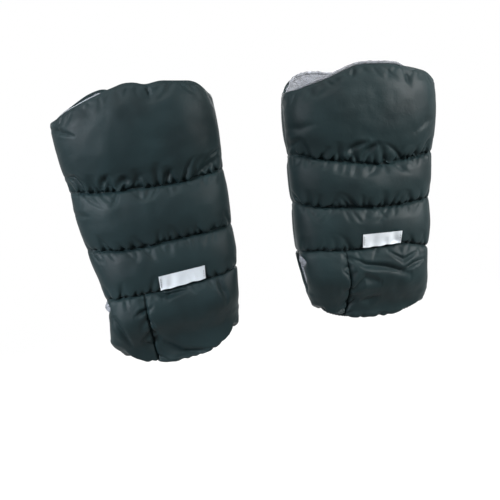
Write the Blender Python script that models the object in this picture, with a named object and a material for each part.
"""A pair of quilted hand muffs that hang on the handlebar of a pushchair.

Each muff is a padded sleeve with an open wrist end at the top. The bar runs sideways
through two slots just under the hood seam. Below it the sleeve ends in a front hood and
a back flap, which swings open so that the muff can be laid round the bar.

Metres. The bar's axis is the X axis, the origin lies midway between the two muffs, the
fronts face -Y and +Z runs up the sleeves. Both muffs are cut alike. Each leans outward,
and their cloth hangs a little differently.
"""
import math
from collections import namedtuple

import bmesh
import bpy
from mathutils import Vector

# Clearances
GAP = 0.0003                     # between any two pieces that lie face to face
STUD_CLEARANCE = 0.0006          # round a snap stud, which leaves its socket on an arc

# The bar that the pair hangs on, and how the muffs hang
BAR_DIAMETER = 0.028
BAR_CLEARANCE = 0.002            # between the bar and the edge of a slot
MUFF_SPACING = 0.262             # from the middle of one muff to the middle of the other
LEAN_DEGREES = 6.0               # each muff's top leans outward by this

# Heights along a muff
LOWER_CHANNEL = 0.0635           # hood seam to second seam
MIDDLE_CHANNEL = 0.071           # second seam to first seam
TOP_CHANNEL = 0.123              # first seam to the wrist edge
HOOD_DROP = 0.0866               # hood seam to the lower edge of hood and flap
SLOT_TO_SEAM = 0.0016            # web of cloth left between a slot and the hood seam
ROUNDING_DROP = 0.004            # the hood starts to close this far below the bar's axis
TAPER_DROP = 0.012               # and starts to narrow this far below it
BAND_HEIGHT = 0.014              # flat closing band along the lower edge
EDGE_LIFT = 0.012                # the lower edge curves up by this at the sides
HOOD_SAG = 0.002                 # each front seam dips by this in the middle
SECOND_SAG = 0.007
FIRST_SAG = 0.012

# How each muff hangs: how far its wrist edge stands above or below WRIST_Z in the middle,
# drops to its two ends, and stands higher at the back; how far its upper seams tilt; and
# how many degrees its sleeve slouches back to upright above the hood
LEFT_WRIST_RISE = 0.003
LEFT_DIP_LEFT = 0.024
LEFT_DIP_RIGHT = 0.036
LEFT_BACK_RISE = 0.006
LEFT_SEAM_TILT = 0.008
LEFT_SLOUCH_DEGREES = 2.2
RIGHT_WRIST_RISE = -0.0125
RIGHT_DIP_LEFT = 0.034
RIGHT_DIP_RIGHT = 0.022
RIGHT_BACK_RISE = 0.0
RIGHT_SEAM_TILT = 0.0
RIGHT_SLOUCH_DEGREES = 0.0

# Inside faces of the lining
WRIST_HALF_WIDTH = 0.102
WRIST_HALF_DEPTH = 0.035
SEAM_HALF_WIDTH = 0.086
SEAM_HALF_DEPTH = 0.031
BOTTOM_HALF_WIDTH = 0.058

# Layers of the wall
LINING_THICKNESS = 0.003
SHELL_THICKNESS = 0.001
SEAM_BATTING = 0.0016            # fill squeezed flat under a seam
TOP_PUFF = 0.015                 # extra fill in the middle of each channel
MIDDLE_PUFF = 0.012
LOWER_PUFF = 0.009
HOOD_PUFF = 0.007

# Hood panels
HOOD_SEAM_X = -0.043             # vertical seam between side and front panel
ELASTIC_DIAMETER = 0.003
HEM_WALL = 0.0012                # cloth round the elastic
CUFF_HEIGHT = 0.0045

# Closure in the band between hood and flap
TAPE_THICKNESS = 0.002
TAPE_WIDTH = 0.010
TAPE_LENGTH = 0.064
TAPE_INSET = 0.0015              # from the lower edge
SNAP_DIAMETER = 0.010
SNAP_THICKNESS = 0.0018
SNAP_SPACING = 0.088
STUD_DIAMETER = 0.0038
STUD_HEIGHT = 0.001
SNAP_CHAMFER = 0.0004

# Woven label on the lowest channel
LABEL_WIDTH = 0.059
LABEL_HEIGHT = 0.017
LABEL_THICKNESS = 0.0008
LABEL_LIFT = 0.0008              # off the faceted puff that it bends round
LABEL_X = 0.011
LABEL_RISE = 0.0015              # above the hood seam

# Roundness of the plan section: 2 is an ellipse, higher is squarer
SLEEVE_POWER = 2.4
SLOT_POWER = 4.0                 # squarer at the slots, where the bar holds the cloth out
BAND_POWER = 8.0
TAPER_POWER = 2.2
EDGE_POWER = 4.0                 # how late the lower edge curves up
LEFT_DIP_POWER_LEFT = 2.2        # how late each wrist edge drops, on its left and right
LEFT_DIP_POWER_RIGHT = 5.0
RIGHT_DIP_POWER_LEFT = 1.5
RIGHT_DIP_POWER_RIGHT = 3.0
PUFF_POWER = 0.7                 # under 1 makes a fuller crown than a sine
SIDE_POWER = 4.0                 # how late the fill thins towards a side seam

# Divisions of the meshes
COLUMNS = 12                     # across a front or a back
LOWER_ROWS = 4
MIDDLE_ROWS = 4
TOP_ROWS = 5
SEAM_COLUMN = 8                  # the hood's vertical seam, counted from +X
SETTLING_STEPS = 12              # rounds that settle a column's height and angle together
SNAP_SEGMENTS = 20
LABEL_COLUMNS = 10
LABEL_ROWS = 4
TAPE_COLUMNS = 8
HEM_COLUMNS = 14
SLOT_ROW_SHARES = (0.62, 0.0, -0.62, -1.0)
SEAM_GROOVE_SHARE = 0.35         # fill left under the hood's vertical seam
SEAM_LIMIT_SHARE = 0.9           # of the half width, the furthest out that seam may run
HEM_REACH_SHARE = 0.84           # of the half width at the corners, how far the hem runs each way
EDGE_SHARE = 0.0001              # slack in finding the facet under a point
MERGE_SHARE = 0.01
CUFF_SHARES = ((1.0, 0.4), (0.75, 1.0), (0.25, 1.0), (0.0, 0.4))
HEM_SHARES = ((-1.0, -1.0), (0.0, -1.0), (1.0, -1.0), (1.0, 0.4), (0.6, 1.0), (0.0, 1.0),
              (-0.6, 1.0), (-1.0, 0.4))
FIRST_TURN_SHARE = 0.625         # of a turn, where the hem's outline starts
SHARP_DEGREES = 50.0

# Worked out from the sizes above
LEAN = math.radians(LEAN_DEGREES)
SLOT_HALF_WIDTH = BAR_DIAMETER / 2 + BAR_CLEARANCE
SLOT_HALF_HEIGHT = SLOT_HALF_WIDTH + SEAM_HALF_WIDTH * math.tan(LEAN)
HOOD_SEAM_Z = SLOT_HALF_HEIGHT + SLOT_TO_SEAM
SECOND_SEAM_Z = HOOD_SEAM_Z + LOWER_CHANNEL
FIRST_SEAM_Z = SECOND_SEAM_Z + MIDDLE_CHANNEL
WRIST_Z = FIRST_SEAM_Z + TOP_CHANNEL
HOOD_END_Z = HOOD_SEAM_Z - HOOD_DROP
BAND_Z = HOOD_END_Z + BAND_HEIGHT
HEM_HEIGHT = ELASTIC_DIAMETER + 2 * (GAP + HEM_WALL)
BAND_HALF_DEPTH = GAP / 2 + TAPE_THICKNESS + GAP
SEAM_WALL = LINING_THICKNESS + GAP + SEAM_BATTING + GAP + SHELL_THICKNESS
WALL_STEPS = (0.0, LINING_THICKNESS, LINING_THICKNESS + GAP, LINING_THICKNESS + GAP + SEAM_BATTING,
              SEAM_WALL - SHELL_THICKNESS, SEAM_WALL)
HINGE_Y = SEAM_HALF_DEPTH + SEAM_WALL
FRONT, BACK = -1, 1              # sign of Y on each half

Hang = namedtuple("Hang", "side rise dips powers back_rise tilt slouch")
HANGS = {
    "left": Hang(-1, LEFT_WRIST_RISE, (LEFT_DIP_LEFT, LEFT_DIP_RIGHT),
                 (LEFT_DIP_POWER_LEFT, LEFT_DIP_POWER_RIGHT), LEFT_BACK_RISE, LEFT_SEAM_TILT,
                 math.tan(math.radians(LEFT_SLOUCH_DEGREES))),
    "right": Hang(1, RIGHT_WRIST_RISE, (RIGHT_DIP_LEFT, RIGHT_DIP_RIGHT),
                  (RIGHT_DIP_POWER_LEFT, RIGHT_DIP_POWER_RIGHT), RIGHT_BACK_RISE, RIGHT_SEAM_TILT,
                  math.tan(math.radians(RIGHT_SLOUCH_DEGREES))),
}


def clamp(share):
    return min(max(share, 0.0), 1.0)


def mix(start, end, share):
    return start + (end - start) * share


def ease(share):
    """0 to 1, level at both ends."""
    return 0.5 - 0.5 * math.cos(math.pi * clamp(share))


# Shape of the lining's inner face, which every layer is measured from

def section(z):
    """Half width, half depth and squareness of the plan section at height z."""
    power = mix(SLEEVE_POWER, SLOT_POWER, ease((SECOND_SEAM_Z - z) / SECOND_SEAM_Z))
    if z >= HOOD_SEAM_Z:
        up = (z - HOOD_SEAM_Z) / (WRIST_Z - HOOD_SEAM_Z)
        return (mix(SEAM_HALF_WIDTH, WRIST_HALF_WIDTH, up),
                mix(SEAM_HALF_DEPTH, WRIST_HALF_DEPTH, up), power)
    closing = ease((-ROUNDING_DROP - z) / (-ROUNDING_DROP - BAND_Z))
    narrowing = max((-TAPER_DROP - z) / (-TAPER_DROP - HOOD_END_Z), 0.0) ** TAPER_POWER
    return (mix(SEAM_HALF_WIDTH, BOTTOM_HALF_WIDTH, narrowing),
            mix(SEAM_HALF_DEPTH, BAND_HALF_DEPTH, closing),
            mix(power, BAND_POWER, closing))


def base_point(angle, z, side):
    """Point of the inner face, angle 0 at +X and pi at -X, on the front or back half."""
    width, depth, power = section(z)
    across = math.cos(angle)
    return Vector((width * across, side * depth * clamp(1 - abs(across) ** power) ** (1 / power), z))


def fullness(point, z):
    width, depth, power = section(z)
    return abs(point.x / width) ** power + abs(point.y / depth) ** power


def base_normal(point):
    """Direction that the layers are stacked in: level on the sleeve, square to the hood."""
    width, depth, power = section(point.z)
    slope_x = math.copysign(abs(point.x / width) ** (power - 1) / width, point.x)
    slope_y = math.copysign(abs(point.y / depth) ** (power - 1) / depth, point.y)
    slope_z = 0.0
    if point.z < HOOD_SEAM_Z - GAP:
        step = GAP
        change = fullness(point, point.z + step) - fullness(point, point.z - step)
        slope_z = change / (2 * step * power)
    return Vector((slope_x, slope_y, slope_z)).normalized()


def edge_angle(z, reach):
    """Angle at which the inner face is this far from the plane between front and back."""
    width, depth, power = section(z)
    return math.acos(clamp(1 - clamp(reach / depth) ** power) ** (1 / power))


def slot_reach(z):
    """Half the slot's width at height z, or half the gap of the closed seam past its ends."""
    return max(SLOT_HALF_WIDTH * math.sqrt(max(1 - (z / SLOT_HALF_HEIGHT) ** 2, 0.0)), GAP / 2)


# Heights of the grid rows: each takes the share of the half width, the side and the hang

def wrist_height(across, side, hang):
    end = int(across > 0)
    rise = hang.back_rise * (1 - across ** 2) if side == BACK else 0.0
    return WRIST_Z + hang.rise - hang.dips[end] * abs(across) ** hang.powers[end] + rise


def seam_height(z, sag, across, side):
    return z - (sag * (1 - across ** 2) if side == FRONT else 0.0)


def sleeve_heights(across, side, hang):
    """Row heights of a sleeve panel from the hood seam up, with the puff's share of each."""
    seams = ((SECOND_SEAM_Z, SECOND_SAG), (FIRST_SEAM_Z, FIRST_SAG))
    lines = [seam_height(HOOD_SEAM_Z, HOOD_SAG, across, side) + GAP / 2]
    lines += [seam_height(z, sag, across, side) - hang.tilt * across for z, sag in seams]
    lines.append(wrist_height(across, side, hang))
    counts = (LOWER_ROWS, MIDDLE_ROWS, TOP_ROWS)
    puffs = (LOWER_PUFF, MIDDLE_PUFF, TOP_PUFF)
    rows = [(lines[0], 0.0)]
    for low, high, count, puff in zip(lines, lines[1:], counts, puffs):
        for row in range(1, count + 1):
            share = row / count
            rows.append((mix(low, high, share), puff * abs(math.sin(math.pi * share)) ** PUFF_POWER))
    return rows


def hood_heights(across, side, hang):
    """Row heights of the hood or flap from its seam down, with the puff of each."""
    slot_rows = [SLOT_HALF_HEIGHT * share for share in SLOT_ROW_SHARES]
    levels = [HOOD_SEAM_Z - GAP / 2] + slot_rows + [mix(-SLOT_HALF_HEIGHT, BAND_Z, 0.5), BAND_Z, HOOD_END_Z]
    rows = []
    for level in levels:
        lift = ease((-SLOT_HALF_HEIGHT - level) / (-SLOT_HALF_HEIGHT - HOOD_END_Z))
        sag = clamp(level / HOOD_SEAM_Z)
        height = mix(level, seam_height(level, HOOD_SAG, across, side), sag)
        height += EDGE_LIFT * lift * abs(across) ** EDGE_POWER
        down = clamp((HOOD_SEAM_Z - level) / (HOOD_SEAM_Z - HOOD_END_Z))
        rows.append((height, HOOD_PUFF * math.sin(math.pi * down) ** PUFF_POWER))
    return rows


def column_angle(column, z, seamed):
    """Angle of a column, from one cut edge to the other, with one column on the hood's seam."""
    start = edge_angle(z, slot_reach(z))
    if not seamed:
        return mix(start, math.pi - start, column / COLUMNS)
    seam_share = max(HOOD_SEAM_X / section(z)[0], -SEAM_LIMIT_SHARE)
    seam = math.acos(seam_share)
    if column <= SEAM_COLUMN:
        return mix(start, seam, column / SEAM_COLUMN)
    return mix(seam, math.pi - start, (column - SEAM_COLUMN) / (COLUMNS - SEAM_COLUMN))


def panel_grid(heights, side, hang, first=0, last=COLUMNS, seamed=False):
    """Rows of (point, normal, fill) where a panel's layers stand on the inner face."""
    grid = []
    for row, (level, puff) in enumerate(heights(0.0, side, hang)):
        line = []
        columns = range(first, last + 1)
        for column in columns if side == FRONT else reversed(columns):
            height = level
            for _ in range(SETTLING_STEPS):
                angle = column_angle(column, height, seamed)
                height = heights(math.cos(angle), side, hang)[row][0]
            point = base_point(angle, height, side)
            fill = puff * (1 - abs(2 * column / COLUMNS - 1) ** SIDE_POWER)
            if seamed and column == SEAM_COLUMN:
                fill *= SEAM_GROOVE_SHARE
                point.x += {first: -GAP / 2, last: GAP / 2}.get(column, 0.0)
            line.append((point, base_normal(point), SEAM_BATTING + fill))
        grid.append(line)
    return grid


def offset(grid, distance):
    """The grid's points, each moved out by a distance worked out from its fill."""
    return [[point + normal * distance(fill) for point, normal, fill in row] for row in grid]


def lining_faces(grid):
    return offset(grid, lambda fill: 0.0), offset(grid, lambda fill: LINING_THICKNESS)


def batting_faces(grid):
    start = LINING_THICKNESS + GAP
    return offset(grid, lambda fill: start), offset(grid, lambda fill: start + fill)


def shell_faces(grid):
    start = LINING_THICKNESS + GAP + GAP
    return (offset(grid, lambda fill: start + fill),
            offset(grid, lambda fill: start + fill + SHELL_THICKNESS))


# Mesh helpers

def finish_mesh(data, material, pivot=Vector()):
    """Mesh from a bmesh, moved to its pivot, faces turned out and edges kept sharp."""
    bmesh.ops.recalc_face_normals(data, faces=data.faces)
    bmesh.ops.translate(data, verts=data.verts, vec=-pivot)
    mesh = bpy.data.meshes.new(material.name)
    data.to_mesh(mesh)
    data.free()
    mesh.materials.append(material)
    mesh.shade_smooth()
    mesh.set_sharp_from_angle(angle=math.radians(SHARP_DEGREES))
    return mesh


def add_strip(data, low, high, closed):
    """Triangles between two rows of vertices, every cell split along the same diagonal."""
    count = len(low) if closed else len(low) - 1
    for column in range(count):
        right = (column + 1) % len(low)
        data.faces.new((low[column], low[right], high[right]))
        data.faces.new((low[column], high[right], high[column]))


def add_rows(data, points):
    return [[data.verts.new(point) for point in row] for row in points]


def sheet_mesh(faces, material, pivot=Vector(), closed=False):
    """Closed solid between an inner and an outer grid of points. A closed one is a sleeve."""
    data = bmesh.new()
    inner, outer = (add_rows(data, face) for face in faces)
    for rows in (inner, outer):
        for low, high in zip(rows, rows[1:]):
            add_strip(data, low, high, closed)
    for row in (0, -1):
        add_strip(data, inner[row], outer[row], closed)
    if not closed:
        for column in (0, -1):
            add_strip(data, [row[column] for row in inner], [row[column] for row in outer], False)
    return finish_mesh(data, material, pivot)


def ring_mesh(rings, material, pivot=Vector(), bore=()):
    """Solid swept through rings of points, capped at its ends, or open right through a bore."""
    data = bmesh.new()
    outer = add_rows(data, rings)
    for low, high in zip(outer, outer[1:]):
        add_strip(data, low, high, True)
    if bore:
        inner = add_rows(data, bore)
        for low, high in zip(inner, inner[1:]):
            add_strip(data, low, high, True)
        for end in (0, -1):
            add_strip(data, outer[end], inner[end], True)
    else:
        for end in (0, -1):
            data.faces.new(outer[end])
    return finish_mesh(data, material, pivot)


def turned_mesh(profile, centre, material, pivot=Vector()):
    """Solid turned about the line along Y through its centre, from (radius, y) corners."""
    data = bmesh.new()
    verts = [data.verts.new(centre + Vector((radius, y, 0.0))) for radius, y in profile]
    loop = verts + verts[:1] if profile[0][0] > 0 else verts
    edges = [data.edges.new(pair) for pair in zip(loop, loop[1:])]
    bmesh.ops.spin(data, geom=verts + edges, cent=centre, axis=Vector((0.0, 1.0, 0.0)),
                   angle=math.tau, steps=SNAP_SEGMENTS, use_merge=True)
    bmesh.ops.remove_doubles(data, verts=data.verts, dist=GAP * MERGE_SHARE)
    return finish_mesh(data, material, pivot)


def new_material(name, colour, roughness, metallic=0.0):
    """Principled material, its colour given as sRGB hex digits."""
    channels = [int(colour[index:index + 2], 16) / 255 for index in (0, 2, 4)]
    linear = [value / 12.92 if value <= 0.04045 else ((value + 0.055) / 1.055) ** 2.4 for value in channels]
    material = bpy.data.materials.new(name)
    material.use_nodes = True
    shader = material.node_tree.nodes["Principled BSDF"]
    shader.inputs["Base Color"].default_value = (*linear, 1.0)
    shader.inputs["Roughness"].default_value = roughness
    shader.inputs["Metallic"].default_value = metallic
    return material


# The pieces of one muff, each a function that returns its mesh

def sleeve_lining(material, hang):
    """Fleece tube that lines the sleeve, one ring of points for each row."""
    ring = []
    for side in (FRONT, BACK):
        for step in range(COLUMNS):
            column = step if side == FRONT else COLUMNS - step
            angle = math.pi * column / COLUMNS
            points = [base_point(angle, height, side)
                      for height, _ in sleeve_heights(math.cos(angle), side, hang)]
            ring.append([(point, base_normal(point), 0.0) for point in points])
    return sheet_mesh(lining_faces(list(zip(*ring))), material, closed=True)


def cuff(material, hang):
    """Rolled edge of the lining, which caps the wall all round the wrist opening."""
    rings = []
    for side in (FRONT, BACK):
        for turn in range(COLUMNS):
            column = turn if side == FRONT else COLUMNS - turn
            angle = math.pi * column / COLUMNS
            height = wrist_height(math.cos(angle), side, hang) + GAP
            foot = base_point(angle, height, side)
            out = base_normal(foot)
            crown = [foot + out * SEAM_WALL * deep + Vector((0.0, 0.0, CUFF_HEIGHT * high))
                     for deep, high in CUFF_SHARES]
            rings.append([foot + out * step for step in WALL_STEPS] + crown)
    data = bmesh.new()
    rows = add_rows(data, rings)
    for low, high in zip(rows, rows[1:] + rows[:1]):
        add_strip(data, low, high, True)
    return finish_mesh(data, material)


def hem_path(side):
    """Middle line of the hem under a panel's lower edge, with the line's downward normal."""
    reach = HEM_REACH_SHARE * section(HOOD_END_Z + EDGE_LIFT)[0]
    xs = [reach * (1 - 2 * index / HEM_COLUMNS) for index in range(HEM_COLUMNS + 1)]
    edge = [Vector((x, 0.0, lower_edge(x))) for x in xs]
    path = []
    for index, point in enumerate(edge):
        before, after = edge[max(index - 1, 0)], edge[min(index + 1, len(edge) - 1)]
        along = after - before
        down = Vector((along.z, 0.0, -along.x)).normalized()
        if down.z > 0:
            down = -down
        middle = Vector((point.x, side * (BAND_HALF_DEPTH + SEAM_WALL / 2), point.z))
        path.append((middle + down * (GAP + HEM_HEIGHT / 2), down))
    return path


def hem(path, material, pivot=Vector()):
    """Folded casing along the lower edge, open at both ends for its elastic."""
    depth_axis = Vector((0.0, 1.0, 0.0))
    outer = [[point + depth_axis * SEAM_WALL / 2 * deep + down * HEM_HEIGHT / 2 * high
              for deep, high in HEM_SHARES] for point, down in path]
    return ring_mesh(outer, material, pivot, bore=round_rings(path, ELASTIC_DIAMETER / 2 + GAP))


def round_rings(path, radius):
    """Rings round the path, each starting at the same corner as the hem's outline."""
    depth_axis = Vector((0.0, 1.0, 0.0))
    turns = [math.tau * (index / len(HEM_SHARES) + FIRST_TURN_SHARE) for index in range(len(HEM_SHARES))]
    return [[point + depth_axis * radius * math.cos(turn) + down * radius * math.sin(turn)
             for turn in turns] for point, down in path]


def lower_edge(x):
    """Height of the hood's lower edge at x."""
    height = HOOD_END_Z
    for _ in range(SETTLING_STEPS):
        height = HOOD_END_Z + EDGE_LIFT * min(abs(x) / section(height)[0], 1.0) ** EDGE_POWER
    return height


def tape(side, material, pivot=Vector()):
    """Strip of hook or loop tape along the inside of the closing band."""
    faces = []
    for y in (GAP / 2, GAP / 2 + TAPE_THICKNESS):
        xs = [TAPE_LENGTH * (index / TAPE_COLUMNS - 0.5) for index in range(TAPE_COLUMNS + 1)]
        low = [Vector((x, side * y, lower_edge(x) + TAPE_INSET)) for x in xs]
        faces.append([low, [point + Vector((0.0, 0.0, TAPE_WIDTH)) for point in low]])
    return sheet_mesh(faces, material, pivot)


def snap_centre(x):
    return Vector((x, 0.0, lower_edge(x) + TAPE_INSET + TAPE_WIDTH / 2))


def snap_socket(x, material):
    """Ring on the hood's lining that the stud presses into."""
    outer, inner = SNAP_DIAMETER / 2, STUD_DIAMETER / 2 + STUD_CLEARANCE
    near, far = FRONT * GAP / 2, FRONT * (GAP / 2 + SNAP_THICKNESS)
    profile = [(inner, near), (outer - SNAP_CHAMFER, near), (outer, near + FRONT * SNAP_CHAMFER),
               (outer, far), (inner, far)]
    return turned_mesh(profile, snap_centre(x), material)


def snap_stud(x, material, pivot):
    """Round cap on the flap's lining with the stud in its middle."""
    outer, stud = SNAP_DIAMETER / 2, STUD_DIAMETER / 2
    near, far, tip = GAP / 2, GAP / 2 + SNAP_THICKNESS, GAP / 2 - STUD_HEIGHT
    profile = [(0.0, tip), (stud - SNAP_CHAMFER, tip), (stud, tip + SNAP_CHAMFER), (stud, near),
               (outer - SNAP_CHAMFER, near), (outer, near + SNAP_CHAMFER), (outer, far), (0.0, far)]
    return turned_mesh(profile, snap_centre(x), material, pivot)


def depth_at(rows, x, z):
    """Y of a faceted face under a point of the XZ plane, read from the triangle it falls in."""
    for low, high in zip(rows, rows[1:]):
        for column in range(len(low) - 1):
            corners = (low[column], low[column + 1], high[column + 1], high[column])
            for triangle in ((0, 1, 2), (0, 2, 3)):
                a, b, c = (corners[index] for index in triangle)
                area = (b.x - a.x) * (c.z - a.z) - (c.x - a.x) * (b.z - a.z)
                to_b = ((x - a.x) * (c.z - a.z) - (c.x - a.x) * (z - a.z)) / area
                to_c = ((b.x - a.x) * (z - a.z) - (x - a.x) * (b.z - a.z)) / area
                if min(to_b, to_c, 1 - to_b - to_c) >= -EDGE_SHARE:
                    return a.y + (b.y - a.y) * to_b + (c.y - a.y) * to_c
    raise ValueError("the label reaches past the front shell")


def label(shell_rows, material):
    """Woven label on the puff above the hood seam."""
    faces = [[], []]
    for row in range(LABEL_ROWS + 1):
        lines = [[], []]
        for column in range(LABEL_COLUMNS + 1):
            x = LABEL_X + LABEL_WIDTH * (column / LABEL_COLUMNS - 0.5)
            seam = seam_height(HOOD_SEAM_Z, HOOD_SAG, x / section(HOOD_SEAM_Z)[0], FRONT)
            z = seam + LABEL_RISE + LABEL_HEIGHT * row / LABEL_ROWS
            y = depth_at(shell_rows, x, z) - LABEL_LIFT
            lines[0].append(Vector((x, y, z)))
            lines[1].append(Vector((x, y - LABEL_THICKNESS, z)))
        for face, line in zip(faces, lines):
            face.append(line)
    return sheet_mesh(faces, material)


def slouched(mesh, hang):
    """The mesh with all that lies above the hood seam sheared sideways."""
    for vertex in mesh.vertices:
        vertex.co.x += hang.slouch * max(vertex.co.z - HOOD_SEAM_Z, 0.0)
    return mesh


def muff_meshes(hang):
    """Meshes of one muff by name: those that stay with the sleeve, and those of the flap."""
    nylon = new_material("nylon_shell", "2A3537", 0.42)
    fill = new_material("polyester_batting", "E8E8E4", 0.95)
    fleece = new_material("fleece_lining", "A9ABB0", 0.95)
    webbing = new_material("closure_tape", "1B1E20", 0.85)
    rubber = new_material("covered_elastic", "D9D6CF", 0.8)
    nickel = new_material("nickel_snap", "B9B7B0", 0.3, 1.0)
    satin = new_material("label_satin", "E2E6EA", 0.5)
    pivot = Vector((0.0, HINGE_Y, HOOD_SEAM_Z))

    front = panel_grid(sleeve_heights, FRONT, hang)
    back = panel_grid(sleeve_heights, BACK, hang)
    hood = panel_grid(hood_heights, FRONT, hang, seamed=True)
    side_panel = panel_grid(hood_heights, FRONT, hang, SEAM_COLUMN, COLUMNS, True)
    front_panel = panel_grid(hood_heights, FRONT, hang, 0, SEAM_COLUMN, True)
    flap = panel_grid(hood_heights, BACK, hang)
    hood_hem, flap_hem = hem_path(FRONT), hem_path(BACK)
    snap_x = SNAP_SPACING / 2

    sleeve = {
        "front_shell": sheet_mesh(shell_faces(front), nylon),
        "front_batting": sheet_mesh(batting_faces(front), fill),
        "back_shell": sheet_mesh(shell_faces(back), nylon),
        "back_batting": sheet_mesh(batting_faces(back), fill),
        "sleeve_lining": sleeve_lining(fleece, hang),
        "cuff": cuff(fleece, hang),
        "hood_side_panel": sheet_mesh(shell_faces(side_panel), nylon),
        "hood_front_panel": sheet_mesh(shell_faces(front_panel), nylon),
        "hood_batting": sheet_mesh(batting_faces(hood), fill),
        "hood_lining": sheet_mesh(lining_faces(hood), fleece),
        "hood_hem": hem(hood_hem, nylon),
        "hood_elastic": ring_mesh(round_rings(hood_hem, ELASTIC_DIAMETER / 2), rubber),
        "loop_tape": tape(FRONT, webbing),
        "snap_socket_left": snap_socket(-snap_x, nickel),
        "snap_socket_right": snap_socket(snap_x, nickel),
        "label": label(shell_faces(front)[1], satin),
    }
    flap_parts = {
        "flap_shell": sheet_mesh(shell_faces(flap), nylon, pivot),
        "flap_batting": sheet_mesh(batting_faces(flap), fill, pivot),
        "flap_lining": sheet_mesh(lining_faces(flap), fleece, pivot),
        "flap_hem": hem(flap_hem, nylon, pivot),
        "flap_elastic": ring_mesh(round_rings(flap_hem, ELASTIC_DIAMETER / 2), rubber, pivot),
        "hook_tape": tape(BACK, webbing, pivot),
        "snap_stud_left": snap_stud(-snap_x, nickel, pivot),
        "snap_stud_right": snap_stud(snap_x, nickel, pivot),
    }
    return {name: slouched(mesh, hang) for name, mesh in sleeve.items()}, flap_parts


# Putting the pair together

def add_empty(name, location, lean=0.0, parent=None):
    empty = bpy.data.objects.new(name, None)
    empty.location = location
    empty.rotation_euler = (0.0, lean, 0.0)
    empty.parent = parent
    bpy.context.scene.collection.objects.link(empty)
    return empty


def add_object(name, mesh, parent):
    piece = bpy.data.objects.new(name, mesh)
    piece.parent = parent
    bpy.context.scene.collection.objects.link(piece)


def main():
    for item in list(bpy.data.objects):
        bpy.data.objects.remove(item, do_unlink=True)
    for prefix, hang in HANGS.items():
        sleeve, flap_parts = muff_meshes(hang)
        muff = add_empty(prefix + "_muff", (hang.side * MUFF_SPACING / 2, 0.0, 0.0), hang.side * LEAN)
        hinge = add_empty(prefix + "_flap_hinge", (0.0, HINGE_Y, HOOD_SEAM_Z), parent=muff)
        for name, mesh in sleeve.items():
            add_object(prefix + "_" + name, mesh, muff)
        for name, mesh in flap_parts.items():
            add_object(prefix + "_" + name, mesh, hinge)


main()
